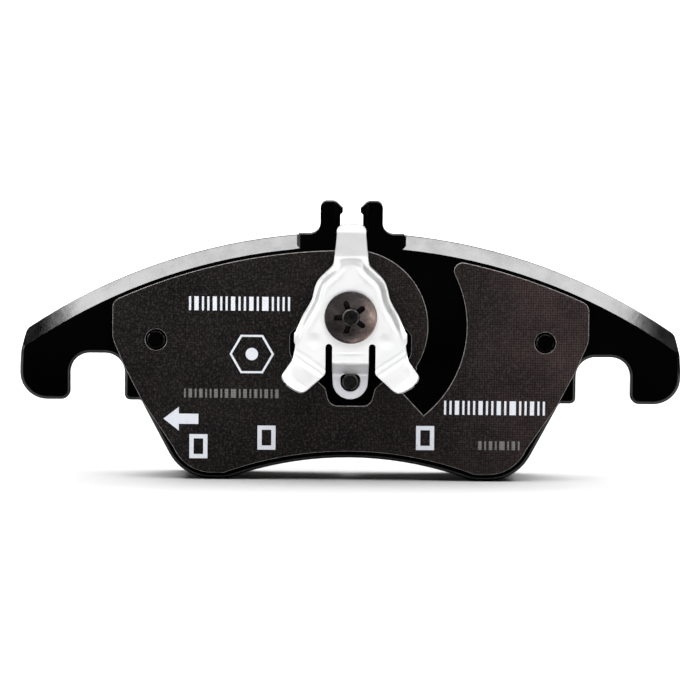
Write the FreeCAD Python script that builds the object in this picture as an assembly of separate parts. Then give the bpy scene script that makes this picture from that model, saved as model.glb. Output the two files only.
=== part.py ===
"""Piston-side front disc brake pad: plate, lining, anti-noise shim and piston clip.

Millimetres. +X is the pad's width, +Z is up, and the piston side faces -Y.
The origin is the middle of the pad's footprint: the two bottom lobes stand at Z = 0.
Each piece is drawn in the XZ plane, measured from the pad's centre line and from its feet,
and "depth" is how far a face stands out of the plate towards the piston.
"""
import FreeCAD, Part
import math
import os

from FreeCAD import Vector

# ---------------------------------------------------------------- driving dimensions (mm)
PAD_THICK = 20.3            # plate, underlayer and lining together
PLATE_THICK = 6.5
BOND_THICK = 0.1
UNDERLAYER_THICK = 2.2
CLIP_REACH = 13.0           # how far the clip's prongs stand out of the plate

ARC_Z = -97.0               # centre of the pad's top and bottom arcs
TOP_R = 169.4               # top edge of the plate
BEVEL_R = 165.6             # where the bevel of the top edge starts
BEVEL_DEPTH = 3.0
ARCH_R = 103.5              # hollow between the two lobes
HALF_WIDTH = 96.6
HOOK_SIDE_Z = 33.0          # the hook's outer side is upright below this height
HOOK_TOP_X = 94.7           # where the top arc ends
HOOK_TOP_CORNER = 2.5
HOOK_CORNER = 8.0
HOOK_TIP_CORNER = 2.8
HOOK_FOOT_Z = 23.0
NOTCH_IN_X = 66.0
NOTCH_OUT_X = 81.8
NOTCH_TOP_Z = 36.7
NOTCH_CORNER = 5.7
STEP_CORNER = 1.7           # lower corner between the notch and the flank
FLANK_CORNER = 0.8
ARCH_CORNER = 8.0
LOBE_X = 40.4
LOBE_R = 14.2
FLANK_X = 61.2              # where the slanted flank meets the hook's foot line
FLANK_TILT = 27.75          # degrees from upright
EDGE_ROLL = 1.3             # rounded blanking edge on the piston side
BACK_EDGE = 0.35

SHOULDER_X = 15.6
SHOULDER_Z = 72.1
SHOULDER_CORNER = 0.5
EAR_X = 9.1
EAR_Z = 81.7
EAR_CORNER = 1.9
EAR_ROOT_CORNER = 3.3
SLOT_X = 3.3
SLOT_FOOT_Z = 70.5
EAR_LIP = (                 # the slot narrows at the lips, then opens to the top
    (SLOT_X, 77.8),
    (2.6, 78.5),
    (2.55, 79.6),
    (4.3, 81.3),
    (5.2, EAR_Z),
)
SLOT_BEVEL_X = 4.9          # bevel along the slot's piston-side edges
SLOT_BEVEL_DEPTH = 1.8
SLOT_BEVEL_FOOT_Z = 72.2
WALL_X = 15.0               # where the top bevel ends beside the shoulder
WALL_FOOT_X = 15.9
WALL_FOOT_DEPTH = 0.8

PIN_Z = 41.0                # line of the two shim pins
PIN_X = 56.8
PIN_R = 2.6
SHIM_PIN_STANDS = 1.3
STUD_Z = 48.5               # clip stud and star washer
STUD_R = 2.5
STUD_STANDS = 6.9
COLLAR_R = 6.4
LOCATOR_Z = 29.1            # pin that keeps the clip from turning
LOCATOR_R = 2.35
LOCATOR_STANDS = 1.7
PIN_CROWN = 0.3             # chamfer on the free end
STUD_CROWN = 0.35
PRESS_DEPTH = 4.5           # how deep the pins sit in the plate

SHIM_LAYERS = (             # from the plate outwards
    ("shim_adhesive", 0.10),
    ("shim_rubber_back", 0.10),
    ("shim_core", 0.50),
    ("shim_facing", 0.20),
)
SHIM_INSET = 1.0            # from the bevel's lower edge
SHIM_SIDE_X = 69.5
SHIM_SIDE_Z = 41.3          # lower end of the upright side
SHIM_SIDE_CORNER = 6.0
SHIM_TOP_CORNER = 3.0
SHIM_FOOT_Z = 2.0
SHIM_ARCH_INSET = 2.1       # from the plate's arch
SHIM_HOLE_R = 3.1
CUTOUT_X = 17.7             # opening under the clip
CUTOUT_TOP_Z = 43.0
CUTOUT_FOOT_Z = 36.5
CUTOUT_TAIL_X = 6.0
CUTOUT_TAIL_Z = 22.0
FACING_CHAMFER = 0.17       # sheared edge of the coat
CRESCENT_X = 0.2
CRESCENT_Z = 45.4
CRESCENT_IN_R = 22.4
CRESCENT_OUT_R = 33.7
CRESCENT_CORNER_R = 2.5

SHEET = 0.9                 # clip's sheet thickness
CLIP_TOP = 5.6              # depth of the clip's face over its raised middle
CLIP_RIM = 3.4              # depth of the edge of its turned-down flanges
FLANGE_W = 2.8
TONGUE_ROOT_Z = 66.2
TONGUE_ROOT_X = 4.8
TONGUE_X = 4.15
TONGUE_TIP_Z = 76.0
LEG_ROOT_Z = 40.4
LEG_ROOT_X = 16.1
FOLD_OUTER = (16.05, 36.55) # ends of the fold line of the right leg
FOLD_INNER = (8.8, 31.6)
FOOT_REACH = 12.6           # depth of the feet's tips
TAB_STEP_TOP_Z = 35.0       # where the tab steps down to the plate
TAB_STEP_FOOT_Z = 31.4
TAB_RING_R = 5.15
TAB_HOLE_R = 2.8
CLIP_HOLE_R = 5.2
CLIP_SLOT_X = 6.3
CLIP_SLOT_HALF = 0.95
PRONG_GAP = 0.04            # at the fold line of each prong

WASHER_R = 7.65
WASHER_SHEET = 0.6
WASHER_DISH = 1.1
WASHER_SAG = 0.22           # how far its cone is bowed
WASHER_BITE = 0.31          # how far its middle sits below the clip's face
WASHER_SLOTS = 5
WASHER_SLOT_END = 5.0
WASHER_SLOT_HALF = 0.8
WASHER_SLOT_TURN = 37.5

LINING_INSET = 2.6          # from the bevel's lower edge
LINING_X = 66.0
LINING_ARCH_INSET = 1.5     # from the plate's arch
LINING_LOBE_INSET = 0.9
LINING_SLOPE = 7.0          # run-in chamfer at each end of the lining
LINING_SLOPE_DEPTH = 3.5
GROOVE_W = 3.0
GROOVE_DEPTH = 7.5

INK_THICK = 0.03
WHITE_BAR_H = 4.1           # rows of bars
GREY_BAR_H = 2.6
FRAME_W = 5.3
FRAME_H = 7.1
FRAME_LINE = 1.25

# ---------------------------------------------------------------- worked-out positions
PLATE_Y = (CLIP_REACH - PAD_THICK) / 2      # the plate's piston-side face
PLATE_BACK_Y = PLATE_Y + PLATE_THICK
DISC_Y = PLATE_Y + PAD_THICK                # the lining's rubbing face
SHIM_THICK = sum(thick for name, thick in SHIM_LAYERS)
BIG = 400.0
UP = Vector(0, 0, 1)
TO_DISC = Vector(0, 1, 0)


def depth(d):
    """Y of a face that stands d out of the plate towards the piston."""
    return PLATE_Y - d


# ---------------------------------------------------------------- small shape helpers
def prism(points, y0, y1):
    """Straight-sided block with a polygon outline of (x, z) points."""
    corners = [Vector(x, y0, z) for x, z in points]
    face = Part.Face(Part.makePolygon(corners + corners[:1]))
    return face.extrude(Vector(0, y1 - y0, 0))


def disc(x, z, r, y0, y1):
    return Part.makeCylinder(r, y1 - y0, Vector(x, y0, z), TO_DISC)


def block(x0, x1, z0, z1, y0, y1):
    return Part.makeBox(x1 - x0, y1 - y0, z1 - z0, Vector(x0, y0, z0))


def fuse(first, *rest):
    shape = first
    for other in rest:
        shape = shape.fuse(other)
    return shape.removeSplitter()


def mirror(shape):
    return shape.mirror(Vector(0, 0, 0), Vector(1, 0, 0))


def mirrored_points(half):
    """Whole outline from its right half, which starts and ends near the centre line."""
    return half + [(-x, z) for x, z in reversed(half) if x > 0]


def solid_of(shape):
    """The single solid of a boolean result."""
    solids = shape.Solids
    if len(solids) != 1:
        raise ValueError("expected one solid, got %d" % len(solids))
    return solids[0]


def upright_edges(shape, x, z, reach=0.25):
    """Edges that run along Y near the point (x, z)."""
    found = []
    for edge in shape.Edges:
        a, b = edge.Vertexes[0].Point, edge.Vertexes[-1].Point
        runs_in_y = abs(a.x - b.x) < 1e-4 and abs(a.z - b.z) < 1e-4 and abs(a.y - b.y) > 0.01
        if runs_in_y and math.hypot(a.x - x, a.z - z) < reach:
            found.append(edge)
    return found


def round_corners(shape, corners):
    """Round the corners (x, z, radius) of an outline; each is mirrored too."""
    for x, z, r in corners:
        edges = []
        for px, pz in ((x, z), (-x, z)):
            near = upright_edges(shape, px, pz)
            if not near:
                raise ValueError("no corner at %.1f, %.1f" % (px, pz))
            edges += near
        shape = shape.makeFillet(r, edges)
    return shape


def edges_in_plane(shape, y, keep):
    """Edges that lie in the plane Y = y and whose middle passes the test keep(x, z)."""
    found = []
    for edge in shape.Edges:
        box = edge.BoundBox
        if abs(box.YMin - y) > 1e-4 or abs(box.YMax - y) > 1e-4:
            continue
        middle = edge.valueAt((edge.FirstParameter + edge.LastParameter) / 2)
        if keep(middle.x, middle.z):
            found.append(edge)
    return found


def crossing(r, x):
    """Height of the arc of radius r about the pad's arc centre, at x."""
    return ARC_Z + math.sqrt(r * r - x * x)


# ---------------------------------------------------------------- backing plate
def flank_foot():
    """Where the slanted flank touches the lobe's circle."""
    turn = math.radians(FLANK_TILT)
    return (LOBE_X + LOBE_R * math.cos(turn), LOBE_R - LOBE_R * math.sin(turn))


def plate_outline(y0, y1):
    """Plate without its shoulder and ears."""
    above = 90.0
    half = [
        (0.0, above),
        (HOOK_TOP_X - 2.0, crossing(TOP_R, HOOK_TOP_X) + 8.0),
        (HALF_WIDTH - 0.3, HOOK_SIDE_Z + 4.4),
        (HALF_WIDTH, HOOK_SIDE_Z),
        (HALF_WIDTH, HOOK_FOOT_Z),
        (NOTCH_OUT_X, HOOK_FOOT_Z),
        (NOTCH_OUT_X, NOTCH_TOP_Z),
        (NOTCH_IN_X, NOTCH_TOP_Z),
        (NOTCH_IN_X, HOOK_FOOT_Z),
        (FLANK_X, HOOK_FOOT_Z),
        flank_foot(),
        (LOBE_X, 0.0),
        (0.0, 0.0),
    ]
    shape = prism(mirrored_points(half), y0, y1)
    shape = shape.common(disc(0, ARC_Z, TOP_R, y0, y1))
    lobes = [disc(side * LOBE_X, LOBE_R, LOBE_R, y0, y1) for side in (1, -1)]
    shape = fuse(shape, *lobes)
    shape = shape.cut(disc(0, ARC_Z, ARCH_R, y0 - 1, y1 + 1))
    arch_x = math.sqrt(ARCH_R ** 2 - ARC_Z ** 2)
    ends = []
    for side in (1, -1):
        ends += upright_edges(shape, side * HOOK_TOP_X, crossing(TOP_R, HOOK_TOP_X), 1.5)
    shape = shape.makeFillet(HOOK_TOP_CORNER, ends)
    return round_corners(shape, [
        (HALF_WIDTH, HOOK_FOOT_Z, HOOK_CORNER),
        (NOTCH_OUT_X, HOOK_FOOT_Z, HOOK_TIP_CORNER),
        (NOTCH_OUT_X, NOTCH_TOP_Z, NOTCH_CORNER),
        (NOTCH_IN_X, NOTCH_TOP_Z, NOTCH_CORNER),
        (NOTCH_IN_X, HOOK_FOOT_Z, STEP_CORNER),
        (FLANK_X, HOOK_FOOT_Z, FLANK_CORNER),
        (arch_x, 0.0, ARCH_CORNER),
    ])


def ears_block(y0, y1):
    """Shoulder with two ears and the slot between them."""
    foot_z = 60.0
    ear = [(SLOT_X, foot_z)] + list(EAR_LIP) + [
        (EAR_X, EAR_Z),
        (EAR_X, SHOULDER_Z),
        (SHOULDER_X, SHOULDER_Z),
        (SHOULDER_X, foot_z),
    ]
    right = prism(ear, y0, y1)
    middle = block(-SLOT_X, SLOT_X, foot_z, SLOT_FOOT_Z, y0, y1)
    shape = fuse(right, mirror(right), middle)
    shape = round_corners(shape, [
        (EAR_X, EAR_Z, EAR_CORNER),
        (EAR_X, SHOULDER_Z, EAR_ROOT_CORNER),
        (SHOULDER_X, SHOULDER_Z, SHOULDER_CORNER),
    ])
    return shape.cut(disc(0, SLOT_FOOT_Z, SLOT_X, y0 - 1, y1 + 1))


def slot_bevel():
    """Wedge that bevels both piston-side edges of the slot."""
    foot = Vector(0, 0, SLOT_BEVEL_FOOT_Z)
    section = [
        Vector(-SLOT_BEVEL_X, PLATE_Y, 0),
        Vector(SLOT_BEVEL_X, PLATE_Y, 0),
        Vector(SLOT_X, PLATE_Y + SLOT_BEVEL_DEPTH, 0),
        Vector(-SLOT_X, PLATE_Y + SLOT_BEVEL_DEPTH, 0),
    ]
    section = [point + foot for point in section]
    return Part.Face(Part.makePolygon(section + section[:1])).extrude(UP * BIG)


def bevel_cutter():
    """Ring wedge that bevels the top edge, broken at the shoulder."""
    over = 2.0
    slope = BEVEL_DEPTH / (TOP_R - BEVEL_R)
    section = [
        Vector(BEVEL_R - over, PLATE_Y - over * slope, ARC_Z),
        Vector(TOP_R + over, PLATE_Y - over * slope, ARC_Z),
        Vector(TOP_R + over, PLATE_Y + BEVEL_DEPTH + over * slope, ARC_Z),
    ]
    face = Part.Face(Part.makePolygon(section + section[:1]))
    wedge = face.revolve(Vector(0, 0, ARC_Z), TO_DISC, -180)
    half = [
        (WALL_X, -1.0),
        (WALL_X, 0.0),
        (WALL_FOOT_X, WALL_FOOT_DEPTH),
        (WALL_FOOT_X + 0.3, BEVEL_DEPTH + 4.0),
    ]
    plan = [Vector(x, PLATE_Y + d, 0) for x, d in half]
    plan += [Vector(-x, PLATE_Y + d, 0) for x, d in reversed(half)]
    keep = Part.Face(Part.makePolygon(plan + plan[:1])).extrude(Vector(0, 0, BIG))
    return wedge.cut(keep)


def make_backing_plate():
    plate = fuse(plate_outline(PLATE_Y, PLATE_BACK_Y), ears_block(PLATE_Y, PLATE_BACK_Y))
    plate = plate.cut(bevel_cutter())
    plate = plate.cut(slot_bevel())
    hole_end = PLATE_Y + PRESS_DEPTH
    for x, z, r in pin_places():
        plate = plate.cut(disc(x, z, r, PLATE_Y - 1, hole_end))
    plate = solid_of(plate)
    return roll_edges(plate)


def pin_places():
    return [
        (PIN_X, PIN_Z, PIN_R),
        (-PIN_X, PIN_Z, PIN_R),
        (0.0, STUD_Z, STUD_R),
        (0.0, LOCATOR_Z, LOCATOR_R),
    ]


def roll_edges(plate):
    """Rounded blanking edges: hooks, notches, flanks and lobes on the piston side."""
    def outside(x, z):
        near_pin = any(math.hypot(x - px, z - pz) < r + 0.5 for px, pz, r in pin_places())
        return not near_pin and z < PIN_Z

    plate = plate.makeFillet(EDGE_ROLL, edges_in_plane(plate, PLATE_Y, outside))
    return plate.makeFillet(BACK_EDGE, edges_in_plane(plate, PLATE_BACK_Y, lambda x, z: True))


# ---------------------------------------------------------------- lining
def pad_outline(inset, side_x, floor_z, y0, y1):
    """Outline of the lining and its underlayer."""
    top_r = BEVEL_R - inset
    half = [
        (0.0, 90.0),
        (side_x - 1.0, 90.0),
        (side_x, 43.0),
        (side_x - 1.8, 36.0),
        (FLANK_X - 2.0, HOOK_FOOT_Z),
        (flank_foot()[0] - 0.8, flank_foot()[1]),
        (LOBE_X, floor_z),
        (0.0, floor_z),
    ]
    shape = prism(mirrored_points(half), y0, y1)
    shape = shape.common(disc(0, ARC_Z, top_r, y0, y1))
    r = LOBE_R - LINING_LOBE_INSET
    shape = fuse(shape, *[disc(side * LOBE_X, floor_z + r, r, y0, y1) for side in (1, -1)])
    return shape.cut(disc(0, ARC_Z, ARCH_R + LINING_ARCH_INSET, y0 - 1, y1 + 1))


def make_bond_film():
    y0 = PLATE_BACK_Y
    return solid_of(pad_outline(LINING_INSET, LINING_X, 0.4, y0, y0 + BOND_THICK))


def make_underlayer():
    y0 = PLATE_BACK_Y + BOND_THICK
    return solid_of(pad_outline(LINING_INSET, LINING_X, 0.0, y0, y0 + UNDERLAYER_THICK))


def make_friction_lining():
    y0 = PLATE_BACK_Y + BOND_THICK + UNDERLAYER_THICK
    shape = pad_outline(LINING_INSET, LINING_X, 0.0, y0, DISC_Y)
    over = 4.0
    drop = LINING_SLOPE_DEPTH * (LINING_SLOPE + over) / LINING_SLOPE
    for side in (1, -1):
        slope = [
            Vector(side * (LINING_X - LINING_SLOPE), DISC_Y + 0.01, -5),
            Vector(side * (LINING_X + over), DISC_Y + 0.01, -5),
            Vector(side * (LINING_X + over), DISC_Y - drop, -5),
        ]
        cutter = Part.Face(Part.makePolygon(slope + slope[:1])).extrude(Vector(0, 0, 100))
        shape = shape.cut(cutter)
    groove = block(-GROOVE_W / 2, GROOVE_W / 2, -5, 90, DISC_Y - GROOVE_DEPTH, DISC_Y + 1)
    return solid_of(shape.cut(groove))


# ---------------------------------------------------------------- shim
def shim_cutout(y0, y1):
    """Opening under the clip, with a tail for the locating tab."""
    half = [
        (0.0, 62.0),
        (7.5, 60.0),
        (13.6, 47.3),
        (CUTOUT_X, CUTOUT_TOP_Z),
        (CUTOUT_X, CUTOUT_FOOT_Z),
        (9.1, 28.8),
        (7.2, 27.0),
        (CUTOUT_TAIL_X, CUTOUT_TAIL_Z),
        (0.0, CUTOUT_TAIL_Z),
    ]
    shape = prism(mirrored_points(half), y0 - 1, y1 + 1)
    return round_corners(shape, [
        (CUTOUT_X, CUTOUT_TOP_Z, 2.0),
        (CUTOUT_X, CUTOUT_FOOT_Z, 3.5),
        (CUTOUT_TAIL_X, CUTOUT_TAIL_Z, 3.0),
    ])


def crescent(y0, y1):
    """Crescent-shaped cut-out beside the clip, open at the top."""
    ring = disc(CRESCENT_X, CRESCENT_Z, CRESCENT_OUT_R, y0 - 1, y1 + 1)
    ring = ring.cut(disc(CRESCENT_X, CRESCENT_Z, CRESCENT_IN_R, y0 - 2, y1 + 2))
    window = prism([
        (4.0, 100.0),
        (60.0, 100.0),
        (60.0, 66.0),
        (22.6, 18.2),
        (14.4, 26.9),
        (19.5, 33.0),
        (12.0, 52.0),
        (5.0, 60.0),
    ], y0 - 1, y1 + 1)
    return ring.common(window)


def crescent_corner():
    """Where the crescent's outer arc meets the shim's top edge."""
    top_r = BEVEL_R - SHIM_INSET
    rise = CRESCENT_Z - ARC_Z
    along = (top_r ** 2 - CRESCENT_OUT_R ** 2 + rise ** 2) / (2 * rise)
    return (math.sqrt(top_r ** 2 - along ** 2), ARC_Z + along)


def shim_outline(y0, y1):
    top_r = BEVEL_R - SHIM_INSET
    half = [
        (0.0, 90.0),
        (68.2, 90.0),
        (SHIM_SIDE_X, 51.0),
        (SHIM_SIDE_X, SHIM_SIDE_Z),
        (66.0, 33.0),
        (60.7, 22.8),
        (flank_foot()[0] - 1.9, flank_foot()[1] + 1.0),
        (LOBE_X, SHIM_FOOT_Z),
        (0.0, SHIM_FOOT_Z),
    ]
    shape = prism(mirrored_points(half), y0, y1)
    shape = shape.common(disc(0, ARC_Z, top_r, y0, y1))
    lobe_r = LOBE_R - SHIM_FOOT_Z
    shape = fuse(shape, *[disc(side * LOBE_X, LOBE_R, lobe_r, y0, y1) for side in (1, -1)])
    shape = shape.cut(disc(0, ARC_Z, ARCH_R + SHIM_ARCH_INSET, y0 - 1, y1 + 1))
    corners = []
    for side in (1, -1):
        corners += upright_edges(shape, side * SHIM_SIDE_X, crossing(top_r, SHIM_SIDE_X), 1.0)
    shape = shape.makeFillet(SHIM_TOP_CORNER, corners)
    shape = round_corners(shape, [(SHIM_SIDE_X, SHIM_SIDE_Z, SHIM_SIDE_CORNER)])
    shape = shape.cut(shim_cutout(y0, y1))
    shape = shape.cut(crescent(y0, y1))
    shape = shape.makeFillet(CRESCENT_CORNER_R, upright_edges(shape, *crescent_corner(), 1.0))
    for side in (1, -1):
        shape = shape.cut(disc(side * PIN_X, PIN_Z, SHIM_HOLE_R, y0 - 1, y1 + 1))
    return shape


def make_shim_layers():
    layers = {}
    inner = 0.0
    for name, thick in SHIM_LAYERS:
        layers[name] = solid_of(shim_outline(depth(inner + thick), depth(inner)))
        inner += thick
    facing = layers["shim_facing"]
    rim = edges_in_plane(facing, depth(inner), lambda x, z: True)
    layers["shim_facing"] = facing.makeChamfer(FACING_CHAMFER, rim)
    return layers


# ---------------------------------------------------------------- pins and stud
def pressed_pin(x, z, r, stands, crown):
    """Round pin pressed into the plate, with a small crown on its free end."""
    pin = disc(x, z, r, depth(stands), PLATE_Y + PRESS_DEPTH)
    free_end = edges_in_plane(pin, depth(stands), lambda px, pz: True)
    return pin.makeChamfer(crown, free_end)


def make_clip_stud():
    """Stud with a collar that carries the clip's raised middle."""
    stud = pressed_pin(0, STUD_Z, STUD_R, STUD_STANDS, STUD_CROWN)
    collar = disc(0, STUD_Z, COLLAR_R, depth(CLIP_TOP - SHEET), PLATE_Y)
    return solid_of(fuse(stud, collar))


# ---------------------------------------------------------------- spring clip
def clip_half_outline(flange):
    """Right half of the clip's middle, from its neck down to the root of the leg.

    flange is how far the turned-down sides are drawn in.
    """
    sides = [
        (5.4, 63.0),
        (7.4, 61.4),
        (9.7, 59.0),
        (10.9, 55.7),
        (11.6, 53.0),
        (14.4, 48.1),
        (15.7, 45.3),
    ]
    drawn_in = [0.4, 0.8, 1.0, 1.0, 1.0, 1.0, 0.6]
    half = [(0.0, TONGUE_ROOT_Z), (TONGUE_ROOT_X, TONGUE_ROOT_Z)]
    half += [(x - flange * share, z) for (x, z), share in zip(sides, drawn_in)]
    half += [(16.4, 44.2), (16.4, 41.0), (LEG_ROOT_X, LEG_ROOT_Z), (0.0, LEG_ROOT_Z)]
    return half


def sheet_strip(profile, origin, across, out, width):
    """Bent strip of sheet.

    profile is the strip's outer face as (run, depth) points; the sheet lies behind it.
    The strip is width wide along across, and its run starts at origin and follows out.
    """
    inner = []
    for i, (run, high) in enumerate(profile):
        before = profile[max(i - 1, 0)]
        after = profile[min(i + 1, len(profile) - 1)]
        turns = []
        for a, b in ((before, (run, high)), ((run, high), after)):
            if a != b:
                turns.append(math.atan2(b[1] - a[1], b[0] - a[0]))
        middle = sum(turns) / len(turns)
        bend = (turns[-1] - turns[0]) / 2
        away = SHEET / math.cos(bend)
        inner.append((run + away * math.sin(middle), high - away * math.cos(middle)))
    ring = []
    for run, high in profile + inner[::-1]:
        flat = origin + out * run
        ring.append(Vector(flat.x, depth(high), flat.z) - across * (width / 2))
    face = Part.Face(Part.makePolygon(ring + ring[:1]))
    return face.extrude(across * width)


def tongue_outline():
    half = [
        (0.0, TONGUE_ROOT_Z - 6),
        (TONGUE_ROOT_X, TONGUE_ROOT_Z - 6),
        (TONGUE_ROOT_X, TONGUE_ROOT_Z - 0.3),
        (TONGUE_X, 70.5),
        (TONGUE_X, TONGUE_TIP_Z - 1.8),
        (3.4, TONGUE_TIP_Z - 0.6),
        (2.2, TONGUE_TIP_Z - 0.2),
        (0.0, TONGUE_TIP_Z),
    ]
    return mirrored_points(half)


def make_clip_tongue():
    root = TONGUE_ROOT_Z + PRONG_GAP
    profile = [(0.0, CLIP_TOP), (7.6, 12.2), (9.6, CLIP_REACH)]
    strip = sheet_strip(profile, Vector(0, 0, root), Vector(1, 0, 0), UP, 30.0)
    shape = strip.common(prism(tongue_outline(), depth(20), PLATE_Y))
    return solid_of(shape.cut(block(-20, 20, 0, root, depth(20), PLATE_Y)))


def leg_frame():
    """A point on the right leg's fold, the fold's direction, and the way the foot runs."""
    outer = Vector(FOLD_OUTER[0], 0, FOLD_OUTER[1])
    inner = Vector(FOLD_INNER[0], 0, FOLD_INNER[1])
    across = (outer - inner).normalize()
    out = Vector(across.z, 0, -across.x)
    return (outer + inner) * 0.5, across, out


def make_right_leg():
    middle, across, out = leg_frame()
    profile = [(-30.0, CLIP_TOP), (0.0, CLIP_TOP), (5.4, 11.0), (8.0, FOOT_REACH)]
    strip = sheet_strip(profile, middle, across, out, 60.0)
    root = LEG_ROOT_Z - PRONG_GAP
    outline = [
        (CLIP_SLOT_X + CLIP_SLOT_HALF, root),
        (LEG_ROOT_X, root),
        (16.3, 37.8),
        (17.0, 35.8),
        (19.6, 32.4),
        (19.5, 31.1),
        (18.3, 29.5),
        (16.5, 28.0),
        (14.4, 27.2),
        (13.2, 27.2),
        (7.7, 31.3),
        (CLIP_SLOT_X + CLIP_SLOT_HALF, 32.3),
    ]
    return solid_of(strip.common(prism(outline, depth(20), PLATE_Y)))


def make_clip_base():
    """Raised middle with turned-down sides, and the tab below it."""
    wires = []
    for flange, d in ((0.0, CLIP_RIM), (FLANGE_W, CLIP_TOP)):
        ring = [Vector(x, depth(d), z) for x, z in mirrored_points(clip_half_outline(flange))]
        wires.append(Part.makePolygon(ring + ring[:1]))
    dome = Part.makeLoft(wires, True, True)
    shell = fuse(dome.cut(dome.translated(Vector(0, SHEET, 0))), make_tab())
    for side in (1, -1):
        slot_top = LEG_ROOT_Z + 0.2 - CLIP_SLOT_HALF
        x = side * CLIP_SLOT_X
        shell = shell.cut(disc(x, slot_top, CLIP_SLOT_HALF, depth(20), PLATE_Y))
    return solid_of(shell.cut(disc(0, STUD_Z, CLIP_HOLE_R, depth(20), PLATE_Y)))


def make_tab():
    """Tab that steps down to the plate and ends in a ring round the locating pin."""
    half_w = CLIP_SLOT_X - CLIP_SLOT_HALF
    profile = [
        (-2.0, CLIP_TOP),
        (LEG_ROOT_Z - TAB_STEP_TOP_Z, CLIP_TOP),
        (LEG_ROOT_Z - TAB_STEP_FOOT_Z, SHEET),
        (18.0, SHEET),
    ]
    strip = sheet_strip(profile, Vector(0, 0, LEG_ROOT_Z), Vector(1, 0, 0), UP * -1, 30.0)
    outline = block(-half_w, half_w, LOCATOR_Z, 41.0, depth(20), PLATE_Y + 1)
    outline = fuse(outline, disc(0, LOCATOR_Z, TAB_RING_R, depth(20), PLATE_Y + 1))
    hole = disc(0, LOCATOR_Z, TAB_HOLE_R, depth(20), PLATE_Y + 1)
    flat_top = block(-TAB_HOLE_R, TAB_HOLE_R, LOCATOR_Z, 31.0, depth(20), PLATE_Y + 1)
    hole = fuse(hole, flat_top)
    return strip.common(outline).cut(hole)


# ---------------------------------------------------------------- star washer
def make_star_washer():
    """Dished push-on washer: it presses on the rim of the clip's hole and grips the stud."""
    low = CLIP_TOP - WASHER_BITE
    high = low + WASHER_DISH

    def at(r, d):
        return Vector(r, depth(d), STUD_Z)

    middle_r = (STUD_R + WASHER_R) / 2
    half_sheet = WASHER_SHEET / 2
    edges = [
        Part.LineSegment(at(STUD_R, low), at(STUD_R, low + WASHER_SHEET)),
        Part.Arc(at(STUD_R, low + WASHER_SHEET),
                 at(middle_r, (low + high) / 2 + WASHER_SHEET - WASHER_SAG),
                 at(WASHER_R - half_sheet, high + WASHER_SHEET)),
        Part.Arc(at(WASHER_R - half_sheet, high + WASHER_SHEET),
                 at(WASHER_R, high + half_sheet),
                 at(WASHER_R - half_sheet, high)),
        Part.Arc(at(WASHER_R - half_sheet, high),
                 at(middle_r, (low + high) / 2 - WASHER_SAG),
                 at(STUD_R, low)),
    ]
    face = Part.Face(Part.Wire([edge.toShape() for edge in edges]))
    washer = face.revolve(Vector(0, 0, STUD_Z), TO_DISC, 360)
    for i in range(WASHER_SLOTS):
        turn = math.radians(WASHER_SLOT_TURN + i * 360 / WASHER_SLOTS)
        slot = block(0, WASHER_SLOT_END - WASHER_SLOT_HALF, -WASHER_SLOT_HALF,
                     WASHER_SLOT_HALF, depth(20), PLATE_Y)
        end = disc(WASHER_SLOT_END - WASHER_SLOT_HALF, 0, WASHER_SLOT_HALF, depth(20), PLATE_Y)
        slot = fuse(slot, end)
        slot.rotate(Vector(0, 0, 0), TO_DISC, -math.degrees(turn))
        slot.translate(Vector(0, 0, STUD_Z))
        washer = washer.cut(slot)
    return solid_of(washer)


# ---------------------------------------------------------------- printed marks
def ink(points):
    return prism(points, depth(SHIM_THICK + INK_THICK), depth(SHIM_THICK))


def ink_bar(x, z, width, height):
    """Upright ink rectangle from its lower left corner."""
    return ink([(x, z), (x + width, z), (x + width, z + height), (x, z + height)])


def ink_row(x, z, height, unit, gap, pattern):
    """Row of bars with even gaps; the pattern's digits are the bars' widths in units."""
    bars = []
    for digit in pattern:
        width = unit * int(digit)
        bars.append(ink_bar(x, z, width, height))
        x += width + gap
    return bars


def ink_frame(x, z, width, height, line):
    """Open rectangle."""
    hole = [(x + line, z + line), (x + width - line, z + line),
            (x + width - line, z + height - line), (x + line, z + height - line)]
    return ink_bar(x, z, width, height).cut(prism(hole, depth(2), PLATE_Y))


def ink_hexagon(x, z, across, line):
    """Six-sided outline with a plain dot in it."""
    def corners(r):
        turns = [math.radians(60 * i) for i in range(6)]
        return [(x + r * math.cos(t), z + r * math.sin(t)) for t in turns]
    outline = ink(corners(across)).cut(prism(corners(across - line), depth(2), PLATE_Y))
    dot = disc(x, z, across * 0.28, depth(SHIM_THICK + INK_THICK), depth(SHIM_THICK))
    return [outline, dot]


def make_white_marks():
    """Direction arrow, two rows of bars, a hexagon and three frames in white ink."""
    arrow = [
        (-54.5, 17.8),
        (-50.0, 21.3),
        (-50.0, 19.3),
        (-44.3, 19.3),
        (-44.3, 16.3),
        (-50.0, 16.3),
        (-50.0, 14.3),
    ]
    marks = [ink(arrow)]
    marks += ink_row(-47.2, 49.7, WHITE_BAR_H, 0.62, 0.95, "12112112112131111")
    marks += ink_row(27.5, 19.7, WHITE_BAR_H, 0.62, 0.95, "11211121121311211")
    marks += ink_hexagon(-28.8, 37.0, 6.5, 0.7)
    for x, z in ((-46.9, 6.2), (-27.0, 8.9), (19.4, 9.2)):
        marks.append(ink_frame(x, z, FRAME_W, FRAME_H, FRAME_LINE))
    return Part.makeCompound(marks)


def make_grey_marks():
    """Two faint rows of small bars."""
    marks = ink_row(-48.5, 24.1, GREY_BAR_H, 0.5, 0.8, "121211212312121212")
    marks += ink_row(37.6, 9.4, GREY_BAR_H, 0.5, 0.8, "21213121")
    return Part.makeCompound(marks)


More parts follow.
